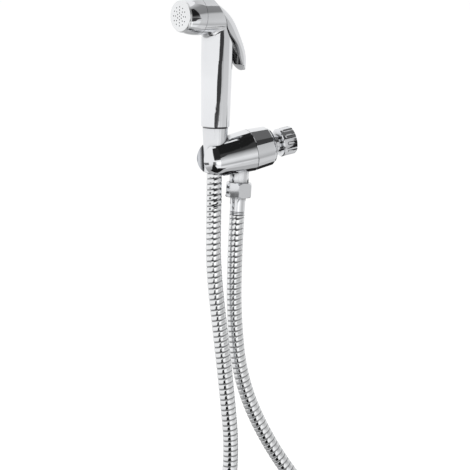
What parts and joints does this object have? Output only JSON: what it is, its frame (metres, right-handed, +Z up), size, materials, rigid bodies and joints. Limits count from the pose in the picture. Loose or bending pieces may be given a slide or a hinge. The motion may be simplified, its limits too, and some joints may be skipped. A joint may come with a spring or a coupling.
{
  "type": "handheld bidet shower",
  "caption": "Chrome hand shower with a thumb lever, resting in a wall-mounted shut-off valve with a slotted cradle and joined to it by a hanging ribbed metal hose.",
  "frame": {"origin": "centre of the wall inlet's mouth, where the union nut meets the wall", "axes": "+Y points into the wall along the inlet's axis, -Y comes out into the room, +Z is up, +X is to the right of someone who faces the wall"},
  "size_m": [0.0806, 0.1663, 0.7499],
  "materials": {
    "chrome_plate": "polished chrome plate on brass",
    "chrome_ring": "polished chrome plate on the turning ring",
    "chrome_handset": "polished chrome plate on the handset",
    "face_plate": "bright chrome plate with drilled holes",
    "hose_band": "bright spiral metal band",
    "steel": "plain stainless steel",
    "brass": "machined brass",
    "ceramic": "ground white ceramic",
    "black_plastic": "moulded black plastic",
    "black_rubber": "black rubber"
  },
  "bodies": {
    "holder": {"wall_union_nut": "chrome_plate", "filter_washer": "black_rubber", "inlet_tailpiece": "chrome_plate", "holder_body": "chrome_plate", "fixed_disc": "ceramic", "disc_seal": "black_rubber", "wave_washer": "steel", "outlet_washer": "black_rubber", "outlet_insert": "brass", "outlet_hex_nut": "chrome_plate", "outlet_ferrule": "chrome_plate", "hose": "hose_band", "handset_ferrule": "chrome_plate", "handset_insert": "brass", "conical_nut": "chrome_plate", "handset_washer": "black_rubber", "handset_body": "chrome_handset", "spray_collar": "chrome_handset", "spray_face": "face_plate", "face_gasket": "black_rubber", "lever_pin": "steel", "valve_bush": "brass", "stem_seal": "black_rubber", "return_spring": "steel", "spring_seat": "black_plastic"},
    "ring": {"control_ring": "chrome_ring", "drive_pin": "steel", "disc_carrier": "brass", "carrier_seals": "black_rubber", "moving_disc": "ceramic"},
    "trigger": {"trigger_lever": "chrome_handset"},
    "plunger": {"valve_stem": "steel", "valve_washer": "black_rubber"}
  },
  "joints": [
    {"name": "shut_off_turn", "type": "hinge", "parent": "holder", "child": "ring", "pos_m": [0, -0.035, 0], "axis": [0, -1, 0], "range_deg": [0, 90]},
    {"name": "trigger_press", "type": "hinge", "parent": "holder", "child": "trigger", "pos_m": [0.00075, -0.05719, 0.13258], "axis": [-0.9681, -0.2458, 0.0478], "range_deg": [0, 9], "stiffness_Nm_per_rad": 0.6, "springref_deg": -17.19},
    {"name": "valve_push", "type": "slide", "parent": "holder", "child": "plunger", "axis": [0.2504, -0.9504, 0.1847], "range_m": [0, 0.00169], "stiffness_N_per_m": 60, "springref_m": -0.002, "deforming": ["return_spring"]}
  ],
  "couplings": [
    {"joint": "valve_push", "follows": "trigger_press", "m_per_rad": 0.0107}
  ]
}
